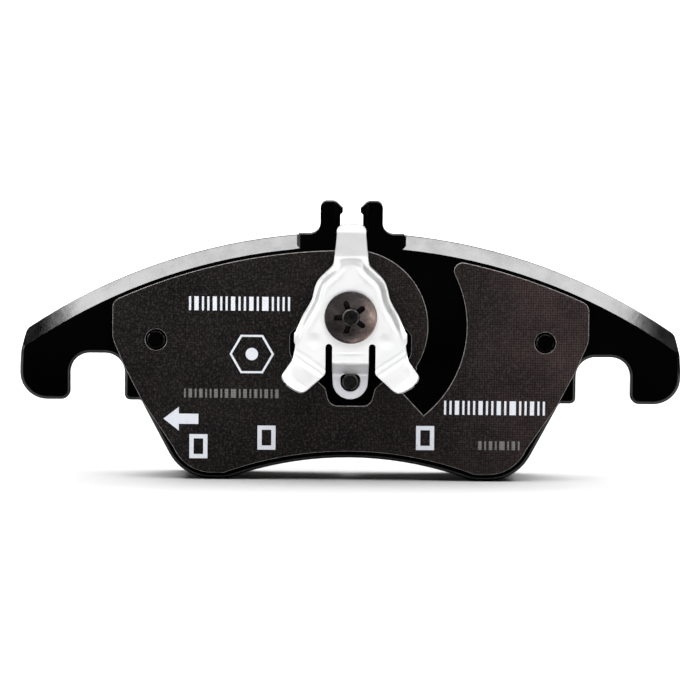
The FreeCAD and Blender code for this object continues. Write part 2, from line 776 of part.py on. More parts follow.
# ---------------------------------------------------------------- all pieces
def main():
    os.makedirs("parts", exist_ok=True)
    leg = make_right_leg()
    nodes = {
        "backing_plate": make_backing_plate(),
        "bond_film": make_bond_film(),
        "underlayer": make_underlayer(),
        "friction_lining": make_friction_lining(),
        "shim_pin_right": pressed_pin(PIN_X, PIN_Z, PIN_R, SHIM_PIN_STANDS, PIN_CROWN),
        "shim_pin_left": pressed_pin(-PIN_X, PIN_Z, PIN_R, SHIM_PIN_STANDS, PIN_CROWN),
        "clip_stud": make_clip_stud(),
        "locating_pin": pressed_pin(0, LOCATOR_Z, LOCATOR_R, LOCATOR_STANDS, PIN_CROWN),
        "clip_base": make_clip_base(),
        "clip_tongue": make_clip_tongue(),
        "clip_leg_right": leg,
        "clip_leg_left": mirror(leg),
        "star_washer": make_star_washer(),
        "white_marks": make_white_marks(),
        "grey_marks": make_grey_marks(),
    }
    nodes.update(make_shim_layers())
    for name, shape in nodes.items():
        if not shape.isValid():
            raise ValueError(name + " is not valid")
        shape.exportStep("parts/" + name + ".step")
        box = shape.BoundBox
        print("%-18s %8.1f mm3  x %6.1f %6.1f  y %6.2f %6.2f  z %6.2f %6.2f" % (
            name, shape.Volume, box.XMin, box.XMax, box.YMin, box.YMax, box.ZMin, box.ZMax))


main()
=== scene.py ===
"""Looks of a disc brake pad: plate, friction lining, anti-noise shim and piston spring clip.

Sizes of the clip are in millimetres, in the same frame as the CAD model, and become metres when
a mesh is made. The studio, and the relief in the materials, are in metres. The piston side of
the pad faces -Y.
"""
import math

import bpy
import numpy as np
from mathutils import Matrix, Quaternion, Vector
from mathutils.geometry import delaunay_2d_cdt


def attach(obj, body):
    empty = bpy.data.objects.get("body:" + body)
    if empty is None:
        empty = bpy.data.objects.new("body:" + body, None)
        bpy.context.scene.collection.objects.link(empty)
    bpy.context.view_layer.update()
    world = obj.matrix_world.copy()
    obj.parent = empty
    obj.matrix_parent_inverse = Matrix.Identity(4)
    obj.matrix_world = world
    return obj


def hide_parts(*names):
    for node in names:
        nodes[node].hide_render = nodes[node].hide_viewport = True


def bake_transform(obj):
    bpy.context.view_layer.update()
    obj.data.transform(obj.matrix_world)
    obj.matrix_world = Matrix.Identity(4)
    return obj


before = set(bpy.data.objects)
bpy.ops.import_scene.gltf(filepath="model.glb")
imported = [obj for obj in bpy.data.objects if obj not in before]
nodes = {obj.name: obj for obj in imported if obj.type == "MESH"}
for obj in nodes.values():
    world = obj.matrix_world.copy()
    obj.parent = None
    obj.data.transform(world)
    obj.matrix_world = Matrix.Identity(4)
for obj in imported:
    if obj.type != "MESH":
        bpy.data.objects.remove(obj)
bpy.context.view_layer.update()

MM = 0.001
PLATE_Y = -3.65             # the plate's piston-side face

SHEET = 0.9                 # clip's sheet thickness
CLIP_TOP = 5.6              # depth of the clip's raised middle
CLIP_RIM = 3.4              # depth of its turned-down sides
NECK_DEPTH = 5.2            # depth where the tongue starts
NECK_Z = 66.0               # where the raised middle runs out into the neck
FLANGE_W = 2.25             # width of the turned-down side
FLANGE_LIP = 0.3            # its flat lip
EDGE_ROLL = 0.2             # rounding of the sheared edges
TONGUE_ROOT_Z = 66.2
TONGUE_TIP_Z = 73.8         # where the tongue's tip bends back
TONGUE_SLOPE = 0.95
TIP_BACK = 0.71
LEG_ROOT_Z = 40.4
FOOT_SLOPE = 1.02
TOE_RUN = 5.2               # from the leg's fold to the bend near its toe
TOE_BACK = 0.42
STUD_Z = 48.5
LOCATOR_Z = 29.1
TAB_R = 5.15
TAB_BEND_Z = 35.0
TAB_FOOT_Z = 31.4
TAB_SLOPE = 1.306
SLOT_X = 6.3
SLOT_HALF = 0.95
SLOT_END_Z = LEG_ROOT_Z + 0.2 - SLOT_HALF       # centre of the slot's round end
SLOT_TURN = math.degrees(math.asin((LEG_ROOT_Z - SLOT_END_Z) / SLOT_HALF))


# ---------------------------------------------------------------- clip: shape of the sheet
def smooth(t):
    t = np.clip(t, 0.0, 1.0)
    return t * t * (3 - 2 * t)


def kink(t, r):
    """Ramp that starts at 0, with a rounded corner of half-length r."""
    return np.where(t < -r, 0.0, np.where(t > r, t, (t + r) ** 2 / (4 * r)))


FLANGE_SIDE = [
    (4.9, 66.2),
    (5.05, 64.6),
    (5.5, 63.1),
    (6.9, 61.7),
    (8.6, 60.2),
    (9.8, 58.7),
    (10.5, 57.0),
    (10.9, 55.4),
    (11.4, 53.4),
    (12.6, 51.1),
    (14.0, 48.7),
    (15.0, 46.5),
    (15.75, 44.9),
    (16.05, 44.1),
    (16.4, 43.8),
    (16.45, 42.4),
    (16.4, 41.0),
    (16.1, LEG_ROOT_Z),
]
FOLD_OUT = (16.05, 36.55)
FOLD_IN = (8.8, 31.6)


def fold_run(x, z):
    """Distance beyond the leg's fold line."""
    ax, az = FOLD_OUT[0] - FOLD_IN[0], FOLD_OUT[1] - FOLD_IN[1]
    size = math.hypot(ax, az)
    mx, mz = (FOLD_OUT[0] + FOLD_IN[0]) / 2, (FOLD_OUT[1] + FOLD_IN[1]) / 2
    return ((np.abs(x) - mx) * az - (z - mz) * ax) / size


def curve_through(points, step=0.3):
    """Smooth line through the points, with a point about every step."""
    p = np.array(points, float)
    p = np.vstack([2 * p[0] - p[1], p, 2 * p[-1] - p[-2]])
    line = [tuple(p[1])]
    for a, b, c, d in zip(p, p[1:], p[2:], p[3:]):
        count = max(1, int(np.linalg.norm(c - b) / step + 0.5))
        for i in range(1, count + 1):
            t = i / count
            q = 0.5 * (2 * b + (c - a) * t + (2 * a - 5 * b + 4 * c - d) * t * t
                       + (3 * b - a - 3 * c + d) * t ** 3)
            line.append(tuple(q))
    return line


def straight(a, b, step=0.4):
    """Points from a to b, both ends included."""
    count = max(1, int(math.dist(a, b) / step + 0.5))
    return [(a[0] + (b[0] - a[0]) * i / count, a[1] + (b[1] - a[1]) * i / count)
            for i in range(count + 1)]


def arc(x, z, r, turn0, turn1, step=0.25):
    """Points of an arc between two angles in degrees, both ends included."""
    count = max(2, int(abs(math.radians(turn1 - turn0)) * r / step + 0.5))
    turns = [math.radians(turn0 + (turn1 - turn0) * i / count) for i in range(count + 1)]
    return [(x + r * math.cos(t), z + r * math.sin(t)) for t in turns]


def mirrored(points):
    return [(-x, z) for x, z in reversed(points)]


def distance_to(points, line):
    """Distance from each point to a line of points, and the nearest point on it."""
    p = np.asarray(points, float)
    a = np.asarray(line[:-1], float)
    b = np.asarray(line[1:], float)
    best = np.full(len(p), 1e9)
    near = np.zeros((len(p), 2))
    for start, end in zip(a, b):
        d = end - start
        t = np.clip(((p - start) @ d) / max(d @ d, 1e-12), 0, 1)
        q = start + t[:, None] * d
        away = np.linalg.norm(p - q, axis=1)
        closer = away < best
        best[closer] = away[closer]
        near[closer] = q[closer]
    return best, near


FLANGE_LINE = curve_through(FLANGE_SIDE)


def clip_depth(x, z):
    """Depth of the clip's outer face at (x, z), before its edges are rounded."""
    x = np.asarray(x, float)
    z = np.asarray(z, float)
    side = np.abs(x)
    s, near = distance_to(np.column_stack([side, z]), FLANGE_LINE)
    low = CLIP_RIM + (NECK_DEPTH - CLIP_RIM) * smooth((z - 60.5) / 5.7)
    low = low + (CLIP_TOP - CLIP_RIM) * (1 - smooth((z - 40.4) / 9.0))
    across = smooth((s - FLANGE_LIP) / (FLANGE_W - FLANGE_LIP))
    along = smooth((NECK_Z - 0.10 * x * x - z) / 2.4)
    top = NECK_DEPTH + (CLIP_TOP - NECK_DEPTH) * along
    d = low + (top - low) * across
    bead = np.exp(-((s - FLANGE_W + 0.05) / 0.38) ** 2)
    bead = bead - 0.8 * np.exp(-((s - FLANGE_W - 1.1) / 0.7) ** 2)
    d = d + 0.15 * bead * smooth((z - 43.0) / 3.0) * smooth((63.5 - z) / 3.0)
    bump = np.hypot(side - 10.4, z - 41.5)
    d = d + 0.25 * smooth(1 - bump / 2.8)
    d = d + TONGUE_SLOPE * kink(z - TONGUE_ROOT_Z, 0.45) - TIP_BACK * kink(z - TONGUE_TIP_Z, 0.5)
    below = z < LEG_ROOT_Z
    tab = below & (side < SLOT_X)
    step = TAB_SLOPE * (kink(TAB_FOOT_Z - z, 0.5) - kink(TAB_BEND_Z - z, 0.6))
    crease = -0.1 * np.exp(-((z - 37.7) / 0.3) ** 2 - (x / 3.5) ** 2)
    d = np.where(tab, d + step + crease, d)
    leg = below & ~tab
    t = fold_run(x, z)
    rise = FOOT_SLOPE * kink(t, 1.0) - TOE_BACK * kink(t - TOE_RUN, 0.8)
    ridge = 0.09 * np.exp(-((t + 1.9) / 0.55) ** 2)
    return np.where(leg, d + rise + ridge, d)


def clip_normal(x, z):
    """Direction that the clip's outer face looks in."""
    e = 0.02
    dx = (clip_depth(x + e, z) - clip_depth(x - e, z)) / (2 * e)
    dz = (clip_depth(x, z + e) - clip_depth(x, z - e)) / (2 * e)
    n = np.column_stack([-dx, -np.ones_like(dx), -dz])
    return n / np.linalg.norm(n, axis=1)[:, None]


# ---------------------------------------------------------------- clip: mesh of one piece
def inside(points, ring):
    """True for each point inside the closed ring."""
    p = np.asarray(points, float)
    hit = np.zeros(len(p), bool)
    for (x0, z0), (x1, z1) in zip(ring, ring[1:] + ring[:1]):
        if z0 == z1:
            continue
        crosses = (z0 > p[:, 1]) != (z1 > p[:, 1])
        at = x0 + (p[:, 1] - z0) * (x1 - x0) / (z1 - z0)
        hit ^= crosses & (p[:, 0] < at)
    return hit


def closed(ring):
    """Ring without repeated points."""
    kept = []
    for point in ring:
        if not kept or math.dist(point, kept[-1]) > 1e-3:
            kept.append(point)
    if math.dist(kept[0], kept[-1]) < 1e-3:
        kept.pop()
    return kept


def fill_points(rings, gap):
    """Points inside the outline: rows that follow its edges, then an even grid."""
    loops = [ring + ring[:1] for ring in rings]

    def clearance(points):
        return np.min([distance_to(points, loop)[0] for loop in loops], axis=0)

    def within(points):
        ok = inside(points, rings[0])
        for hole in rings[1:]:
            ok &= ~inside(points, hole)
        return ok

    found = []
    for off in (0.05, 0.12, EDGE_ROLL):
        row = []
        for loop in loops:
            for a, b in zip(loop, loop[1:]):
                size = math.dist(a, b)
                mx, mz = (a[0] + b[0]) / 2, (a[1] + b[1]) / 2
                nx, nz = (b[1] - a[1]) / size, (a[0] - b[0]) / size
                row += [(mx + nx * off, mz + nz * off), (mx - nx * off, mz - nz * off)]
        row = np.array(row)
        row = row[within(row)]
        row = row[clearance(row) > off * 0.9]
        found.append(row)
    ring = np.array(rings[0])
    (x0, z0), (x1, z1) = ring.min(0), ring.max(0)
    grid = []
    for j, z in enumerate(np.arange(z0, z1, gap * 0.87)):
        for x in np.arange(x0 + (j % 2) * gap / 2, x1, gap):
            grid.append((x, z))
    grid = np.array(grid)
    grid = grid[within(grid)]
    grid = grid[clearance(grid) > EDGE_ROLL + gap * 0.45]
    found.append(grid)
    return np.vstack(found)


def sheet_piece(name, rings, seam, gap=0.45):
    """Solid piece of the clip. rings are its outline and its holes.

    seam(x, z) is true on the line where the piece runs on into its neighbour.
    """
    rings = [closed(ring) for ring in rings]
    flat = [Vector(p) for ring in rings for p in ring]
    edges = []
    first = 0
    for ring in rings:
        count = len(ring)
        edges += [(first + i, first + (i + 1) % count) for i in range(count)]
        first += count
    flat += [Vector(p) for p in fill_points(rings, gap)]
    verts, _, faces = delaunay_2d_cdt(flat, edges, [], 0, 1e-5)[:3]
    xz = np.array([tuple(v) for v in verts])
    tri = np.array([f for f in faces if len(f) == 3])
    centre = xz[tri].mean(axis=1)
    ok = inside(centre, rings[0])
    for hole in rings[1:]:
        ok &= ~inside(centre, hole)
    tri = tri[ok]
    used = np.unique(tri)
    renumber = np.full(len(xz), -1)
    renumber[used] = np.arange(len(used))
    tri = renumber[tri]
    xz = xz[used]
    ab = xz[tri[:, 1]] - xz[tri[:, 0]]
    ac = xz[tri[:, 2]] - xz[tri[:, 0]]
    turned = ab[:, 0] * ac[:, 1] - ab[:, 1] * ac[:, 0]
    tri[turned < 0] = tri[turned < 0][:, ::-1]

    cut_lines = []
    for ring in rings:
        for p, q in zip(ring, ring[1:] + ring[:1]):
            if not (seam(*p) and seam(*q)):
                cut_lines.append((p, q))
    s = np.full(len(xz), 1e9)
    near = np.zeros_like(xz)
    for p, q in cut_lines:
        away, spot = distance_to(xz, [p, q])
        closer = away < s
        s[closer] = away[closer]
        near[closer] = spot[closer]

    x, z = xz[:, 0], xz[:, 1]
    n = clip_normal(x, z)
    face = np.column_stack([x, PLATE_Y - clip_depth(x, z), z])
    back = face - n * SHEET
    rolled = np.clip(1 - s / EDGE_ROLL, 0, 1)
    outer = face - n * (EDGE_ROLL * (1 - np.sqrt(1 - rolled ** 2)))[:, None]

    half = {}
    for f in tri:
        for i in range(3):
            half[(f[i], f[(i + 1) % 3])] = True
    rim = [(p, q) for p, q in half if (q, p) not in half]
    turn_out = np.zeros((len(xz), 3))
    for p, q in rim:
        d = xz[q] - xz[p]
        out = np.array([d[1], 0.0, -d[0]]) / np.linalg.norm(d)
        turn_out[p] += out
        turn_out[q] += out
    lean = near - xz
    size = np.linalg.norm(lean, axis=1)
    inner = size > 1e-4
    turn_out[inner] = 0
    turn_out[inner, 0] = lean[inner, 0] / size[inner]
    turn_out[inner, 2] = lean[inner, 1] / size[inner]
    size = np.linalg.norm(turn_out, axis=1)
    turn_out[size > 0] /= size[size > 0][:, None]
    roll_n = n * np.sqrt(1 - rolled ** 2)[:, None] + turn_out * rolled[:, None]
    size = np.linalg.norm(roll_n, axis=1)
    roll_n /= np.maximum(size, 1e-9)[:, None]

    total = len(xz)
    points = np.vstack([outer, back]) * MM
    polys = []
    normals = []
    for f in tri:
        polys.append([int(v) for v in f])
        normals += [roll_n[v] for v in f]
        polys.append([int(v) + total for v in f[::-1]])
        normals += [-n[v] for v in f[::-1]]
    for p, q in rim:
        d = xz[q] - xz[p]
        out = np.array([d[1], 0.0, -d[0]]) / np.linalg.norm(d)
        polys.append([int(q), int(p), int(p) + total, int(q) + total])
        normals += [turn_out[v] if out @ turn_out[v] > 0.7 else out for v in (q, p, p, q)]
    mesh = bpy.data.meshes.new(name)
    mesh.from_pydata([tuple(v) for v in points], [], polys)
    mesh.polygons.foreach_set("use_smooth", [True] * len(polys))
    mesh.normals_split_custom_set([tuple(v) for v in normals])
    mesh.update()
    piece = bpy.data.objects.new(name, mesh)
    bpy.context.scene.collection.objects.link(piece)
    return piece


def slot_top():
    """Half of the rounded top of a slot, from the leg's root over to the tab's side."""
    return arc(SLOT_X, SLOT_END_Z, SLOT_HALF, SLOT_TURN, 180)


def build_clip():
    side = FLANGE_LINE
    slot = slot_top()
    root_in = slot[0]
    tab_side = curve_through([slot[-1], (5.35, 36.0), (5.32, 32.0), (TAB_R, LOCATOR_Z)])
    half = straight((0.0, TONGUE_ROOT_Z), side[0]) + side
    half += straight(side[-1], root_in) + slot + tab_side
    half += arc(0, LOCATOR_Z, TAB_R, 0, -90)
    stud_hole = arc(0, STUD_Z, 5.2, 0, 360)
    hole_corner = arc(1.8, 30.1, 1.0, 0, 90)
    pin_hole = arc(0, LOCATOR_Z, 2.8, -180, 0) + hole_corner + mirrored(hole_corner)

    def base_seam(x, z):
        on_tongue = abs(z - TONGUE_ROOT_Z) < 1e-3
        on_leg = abs(z - LEG_ROOT_Z) < 1e-3 and abs(x) > root_in[0] - 1e-3
        return on_tongue or on_leg

    outline = half + mirrored(half)
    base = sheet_piece("spring_clip_middle", [outline, stud_hole, pin_hole], base_seam)

    edge = curve_through([side[0], (4.65, 68.0), (4.4, 70.5), (4.25, 72.6), (4.25, 73.9),
                          (3.95, 74.9), (3.1, 75.6), (1.8, 75.9), (0.0, 76.0)])
    half = straight((0.0, TONGUE_ROOT_Z), side[0]) + edge
    tongue = sheet_piece("spring_clip_tongue", [half + mirrored(half)],
                         lambda x, z: abs(z - TONGUE_ROOT_Z) < 1e-3)

    slot_side = arc(SLOT_X, SLOT_END_Z, SLOT_HALF, SLOT_TURN, 0)
    toe = (12.5, 27.7)
    heel = (7.9, 31.2)
    heel_top = (7.25, 33.2)
    outer = curve_through([side[-1], (16.15, 39.6), (16.5, 38.2), (16.75, 37.0), (17.05, 36.0),
                           (17.9, 34.6), (19.0, 33.2), (19.6, 32.2), (19.6, 31.3), (19.0, 30.2),
                           (17.9, 29.1), (16.4, 28.1), (15.2, 27.5), (14.3, 27.2), (13.4, 27.25),
                           toe])
    inner = straight(toe, heel) + curve_through([heel, (7.4, 31.7), (7.25, 32.4), heel_top])
    foot = outer + inner + straight(heel_top, slot_side[-1])
    foot += slot_side[::-1] + straight(slot_side[0], side[-1])
    legs = []
    for name, ring in (("right", foot), ("left", mirrored(foot))):
        legs.append(sheet_piece("spring_clip_leg_" + name, [ring],
                                lambda x, z: abs(z - LEG_ROOT_Z) < 1e-3))
    return base, tongue, legs


# ---------------------------------------------------------------- materials
WEAVE_PITCH = 0.0007


class Look:
    """One node material, with short names for the nodes it is made of."""

    def __init__(self, name):
        self.mat = bpy.data.materials.new(name)
        self.mat.use_nodes = True
        self.nodes = self.mat.node_tree.nodes
        self.links = self.mat.node_tree.links
        self.shader = self.nodes["Principled BSDF"]
        self.place = self.nodes.new("ShaderNodeTexCoord").outputs["Object"]

    def node(self, kind, settings=(), inputs=()):
        made = self.nodes.new("ShaderNode" + kind)
        for key, value in dict(settings).items():
            setattr(made, key, value)
        for key, value in dict(inputs).items():
            self.feed(made.inputs[key], value)
        return made

    def feed(self, socket, value):
        if isinstance(value, bpy.types.NodeSocket):
            self.links.new(value, socket)
        else:
            socket.default_value = value

    def set(self, **values):
        for key, value in values.items():
            self.feed(self.shader.inputs[key.replace("_", " ")], value)

    def stretched(self, x, y, z):
        """Object position, scaled along each axis."""
        return self.node("Mapping", inputs={"Vector": self.place, "Scale": (x, y, z)}).outputs[0]

    def noise(self, scale, detail=3.0, rough=0.55, warp=0.0, at=None):
        made = self.node("TexNoise", inputs={
            "Vector": at or self.place, "Scale": scale, "Detail": detail,
            "Roughness": rough, "Distortion": warp})
        return made.outputs["Fac"]

    def cells(self, scale):
        made = self.node("TexVoronoi", inputs={"Vector": self.place, "Scale": scale})
        return made.outputs["Distance"]

    def ramp(self, value, *stops):
        made = self.node("ValToRGB", inputs={"Fac": value})
        band = made.color_ramp
        while len(band.elements) < len(stops):
            band.elements.new(0.5)
        for element, (at, colour) in zip(band.elements, stops):
            element.position = at
            grey = not hasattr(colour, "__len__")
            element.color = (colour,) * 3 + (1,) if grey else tuple(colour) + (1,)
        return made.outputs["Color"]

    def math(self, how, a, b=0.0):
        made = self.node("Math", {"operation": how})
        self.feed(made.inputs[0], a)
        self.feed(made.inputs[1], b)
        return made.outputs[0]

    def blend(self, share, a, b, how="MIX"):
        made = self.node("Mix", {"data_type": "RGBA", "blend_type": how})
        self.feed(made.inputs[0], share)
        self.feed(made.inputs[6], a if not isinstance(a, tuple) else a + (1,))
        self.feed(made.inputs[7], b if not isinstance(b, tuple) else b + (1,))
        return made.outputs[2]

    def relief(self, height, strength, distance, under=None):
        made = self.node("Bump", inputs={
            "Height": height, "Strength": strength, "Distance": distance})
        if under is not None:
            self.feed(made.inputs["Normal"], under)
        return made.outputs[0]

    def split(self, axes):
        """The named axes of the object position."""
        made = self.node("SeparateXYZ", inputs={"Vector": self.place})
        return [made.outputs[axis] for axis in axes]


def plate_paint():
    look = Look("plate_gloss_black")
    cloud = look.noise(45, 4)
    look.set(Base_Color=look.ramp(
        cloud, (0.3, (0.0004, 0.0004, 0.0005)), (0.7, (0.0011, 0.0011, 0.0012))))
    look.set(Roughness=look.ramp(look.noise(160, 5, 0.6), (0.3, 0.10), (0.75, 0.2)))
    look.set(IOR=1.5)
    tilt = look.node("LayerWeight", inputs={"Blend": 0.5}).outputs["Facing"]
    look.set(Specular_IOR_Level=look.ramp(
        tilt, (0.0, 0.0), (0.05, 0.0), (0.14, 0.5), (0.19, 0.5), (0.35, 0.2), (1.0, 0.3)))
    peel = look.relief(look.noise(600, 2, 0.4), 0.05, 0.0002)
    look.set(Normal=look.relief(look.noise(3500, 2), 0.05, 0.00004, peel))
    return look.mat


def weave(look):
    """Fine cloth-like grid of the shim's coating, as a height from 0 to 1."""
    x, z = look.split("XZ")
    turn = 2 * math.pi / WEAVE_PITCH
    wobble = look.math("MULTIPLY", look.noise(250, 2), 2.2)
    a = look.math("SINE", look.math("ADD", look.math("MULTIPLY", x, turn), wobble))
    b = look.math("SINE", look.math("ADD", look.math("MULTIPLY", z, turn), wobble))
    both = look.math("MULTIPLY", look.math("ADD", a, b), 0.25)
    return look.math("ADD", both, 0.5)


def shim_coat():
    look = Look("shim_rubber_coat")
    grid = weave(look)
    mottle = look.noise(95, 5, 0.65)
    grain = look.noise(1500, 3, 0.6)
    base = look.ramp(mottle, (0.34, (0.008, 0.0068, 0.0068)), (0.52, (0.013, 0.0105, 0.0100)),
                     (0.7, (0.019, 0.0150, 0.0140)))
    # Painted light: the coat is made much lighter and slightly warmer towards +X, as if lit more from
    # the right.
    (x,) = look.split("X")
    across = look.math("ADD", look.math("MULTIPLY", x, 7.0), 0.5)
    painted_light_to_right = look.ramp(across, (0.0, (0.50, 0.53, 0.53)), (0.5, (0.56, 0.56, 0.56)),
                     (0.72, (1.05, 0.95, 0.95)), (0.85, (2.2, 1.8, 1.8)), (1.0, (2.8, 2.25, 2.3)))
    base = look.blend(1.0, base, painted_light_to_right, "MULTIPLY")
    base = look.blend(look.ramp(grid, (0.30, 0.0), (0.72, 0.85)), base, (0.0018, 0.0015, 0.0015))
    base = look.blend(look.ramp(grain, (0.48, 0.0), (0.75, 0.6)), base, (0.050, 0.043, 0.042))
    # The coat's faces that turn away from Y are made a lighter grey: partly wear along the edges,
    # partly a painted highlight on them.
    facing = look.node("TexCoord").outputs["Normal"]
    slant = look.math("ABSOLUTE", look.node("SeparateXYZ", inputs={"Vector": facing}).outputs["Y"])
    edge = look.ramp(slant, (0.80, 1.0), (0.95, 0.0))
    wear_and_highlight = look.math("MULTIPLY", edge, look.ramp(look.noise(700, 3), (0.35, 0.45), (0.65, 1.0)))
    look.set(Base_Color=look.blend(wear_and_highlight, base, (0.24, 0.225, 0.22)))
    look.set(Roughness=look.ramp(look.noise(400, 3), (0.3, 0.5), (0.7, 0.68)))
    look.set(Specular_IOR_Level=look.ramp(look.noise(50, 2), (0.3, 0.04), (0.7, 0.08)))
    fine = look.relief(grid, 0.35, 0.00006)
    look.set(Normal=look.relief(grain, 0.2, 0.00004, fine))
    return look.mat


def zinc():
    look = Look("clip_zinc")
    cloud = look.noise(110, 4, 0.5, 0.4)
    fine = look.noise(1600, 3, 0.5)
    base = look.ramp(cloud, (0.3, (0.78, 0.78, 0.785)), (0.7, (0.86, 0.86, 0.86)))
    base = look.blend(look.math("MULTIPLY", fine, 0.15), base, (0.76, 0.76, 0.77))
    # Painted shade: the ring round the locating pin, below the tab's slope, is made a darker bluish
    # grey.
    x, z = look.split("XZ")
    side = look.math("ABSOLUTE", x)
    low = look.ramp(look.math("MULTIPLY", z, 20.0), (0.60, 1.0), (0.68, 0.0))
    narrow = look.ramp(look.math("MULTIPLY", side, 100.0), (0.60, 1.0), (0.68, 0.0))
    tab = look.math("MULTIPLY", low, narrow)
    painted_ring_shade = look.math("MULTIPLY", tab, look.ramp(cloud, (0.3, 0.6), (0.7, 0.95)))
    look.set(Base_Color=look.blend(painted_ring_shade, base, (0.50, 0.50, 0.54)))
    look.set(Metallic=look.ramp(look.noise(60, 3), (0.3, 0.60), (0.7, 0.72)))
    look.set(Roughness=look.ramp(look.noise(400, 3), (0.3, 0.38), (0.7, 0.46)))
    dents = look.relief(look.noise(260, 2, 0.5), 0.05, 0.0002)
    look.set(Normal=look.relief(fine, 0.04, 0.00003, dents))
    return look.mat


def washer_steel():
    look = Look("washer_phosphate")
    blot = look.noise(420, 5, 0.65, 0.8)
    base = look.ramp(blot, (0.3, (0.045, 0.038, 0.037)), (0.55, (0.075, 0.063, 0.060)),
                     (0.75, (0.13, 0.110, 0.100)))
    # Painted highlight: the washer is made lighter towards the lower right and darker towards the
    # upper left.
    x, z = look.split("XZ")
    up = look.math("MULTIPLY", look.math("SUBTRACT", z, STUD_Z * MM), 0.5)
    along = look.math("SUBTRACT", look.math("MULTIPLY", x, 1.3), up)
    cloud = look.math("MULTIPLY", look.noise(300, 4), 0.5)
    painted_highlight = look.math("ADD", look.math("MULTIPLY", along, 60), cloud)
    painted_highlight = look.ramp(painted_highlight, (0.0, (0.45, 0.45, 0.48)), (0.45, (1.0, 1.0, 1.0)),
                      (0.85, (4.2, 3.7, 3.5)))
    base = look.blend(1.0, base, painted_highlight, "MULTIPLY")
    look.set(Base_Color=base)
    look.set(Metallic=look.ramp(look.noise(900, 3), (0.3, 0.88), (0.7, 0.96)))
    look.set(Roughness=look.ramp(look.noise(1300, 3), (0.3, 0.26), (0.7, 0.42)))
    look.set(Normal=look.relief(look.noise(1800, 3), 0.15, 0.00005))
    return look.mat


def pin_steel(name, z_mm, r_mm):
    """Black oxide, with a lighter, more metallic ring round the rim of the pin's end: partly rubbed
    metal, partly a painted highlight.
    """
    look = Look(name)
    blot = look.noise(900, 4, 0.6)
    base = look.ramp(blot, (0.35, (0.001, 0.001, 0.001)), (0.75, (0.006, 0.0055, 0.0055)))
    x, z = look.split("XZ")
    up = look.math("SUBTRACT", z, z_mm * MM)
    square = look.math("ADD", look.math("MULTIPLY", x, x), look.math("MULTIPLY", up, up))
    share = look.math("DIVIDE", look.math("POWER", square, 0.5), r_mm * MM)
    # Ring at the rim of the pin's end: rubbed metal and a painted highlight.
    rim = look.ramp(share, (0.80, 0.0), (0.88, 1.0), (0.99, 1.0), (1.0, 0.0))
    rim = look.math("MULTIPLY", rim, look.ramp(look.noise(500, 3), (0.35, 0.0), (0.65, 1.0)))
    look.set(Base_Color=look.blend(rim, base, (0.13, 0.12, 0.115)))
    look.set(Metallic=look.ramp(rim, (0.0, 0.2), (1.0, 0.8)))
    look.set(Roughness=look.ramp(look.noise(1500, 3), (0.3, 0.30), (0.7, 0.5)))
    look.set(Specular_IOR_Level=look.ramp(blot, (0.3, 0.02), (0.7, 0.2)))
    look.set(Normal=look.relief(look.noise(1300, 4, 0.7), 0.5, 0.0002))
    return look.mat


def steel_edge():
    look = Look("shim_steel_edge")
    scratch = look.noise(2500, 4, 0.6, at=look.stretched(0.2, 1, 1))
    look.set(Base_Color=look.ramp(scratch, (0.3, (0.28, 0.27, 0.26)), (0.7, (0.45, 0.44, 0.42))))
    look.set(Metallic=look.ramp(look.noise(400, 2), (0.3, 0.8), (0.7, 0.95)))
    look.set(Roughness=look.ramp(look.noise(1300, 3), (0.3, 0.3), (0.7, 0.5)))
    look.set(Normal=look.relief(scratch, 0.2, 0.00004))
    return look.mat


def ink(name, colour, wear_and_highlight):
    look = Look(name)
    grid = weave(look)
    break_up = look.math("MULTIPLY", grid, look.noise(1800, 4, 0.7))
    base = tuple(c * 0.93 for c in colour)
    tone = look.blend(look.noise(900, 3), colour, base)
    gaps = look.ramp(break_up, (wear_and_highlight, 0.0), (wear_and_highlight + 0.12, 0.75))
    look.set(Base_Color=look.blend(gaps, tone, (0.03, 0.026, 0.026)))
    look.set(Roughness=look.ramp(look.noise(700, 2), (0.3, 0.55), (0.7, 0.7)))
    look.set(Normal=look.relief(grid, 0.3, 0.00005))
    return look.mat


def rubber(name, dark, light):
    look = Look(name)
    look.set(Base_Color=look.ramp(look.noise(800, 4), (0.3, dark), (0.7, light)))
    look.set(Roughness=look.ramp(look.noise(500, 3), (0.3, 0.55), (0.7, 0.75)))
    look.set(Normal=look.relief(look.noise(3000, 3), 0.2, 0.00005))
    return look.mat


def friction():
    look = Look("friction_composite")
    base = look.ramp(look.noise(260, 6, 0.7), (0.3, (0.030, 0.028, 0.027)),
                     (0.55, (0.058, 0.053, 0.050)), (0.8, (0.095, 0.088, 0.080)))
    chips = look.ramp(look.cells(900), (0.16, 1.0), (0.24, 0.0))
    glint = look.ramp(look.noise(140, 2), (0.5, 0.0), (0.6, 1.0))
    chips = look.math("MULTIPLY", chips, glint)
    base = look.blend(chips, base, (0.42, 0.36, 0.27))
    pits = look.ramp(look.cells(1500), (0.10, 1.0), (0.2, 0.0))
    patches = look.ramp(look.noise(200, 2, 0.5, 1.0), (0.5, 0.0), (0.56, 1.0))
    pits = look.math("MULTIPLY", pits, patches)
    look.set(Base_Color=look.blend(pits, base, (0.012, 0.011, 0.011)))
    look.set(Metallic=look.math("MULTIPLY", chips, 0.8))
    look.set(Roughness=look.ramp(look.noise(900, 3), (0.3, 0.65), (0.7, 0.9)))
    rough = look.relief(look.noise(1200, 6, 0.7), 0.5, 0.00025)
    look.set(Normal=look.relief(look.math("MULTIPLY", pits, -1.0), 0.6, 0.0002, rough))
    return look.mat


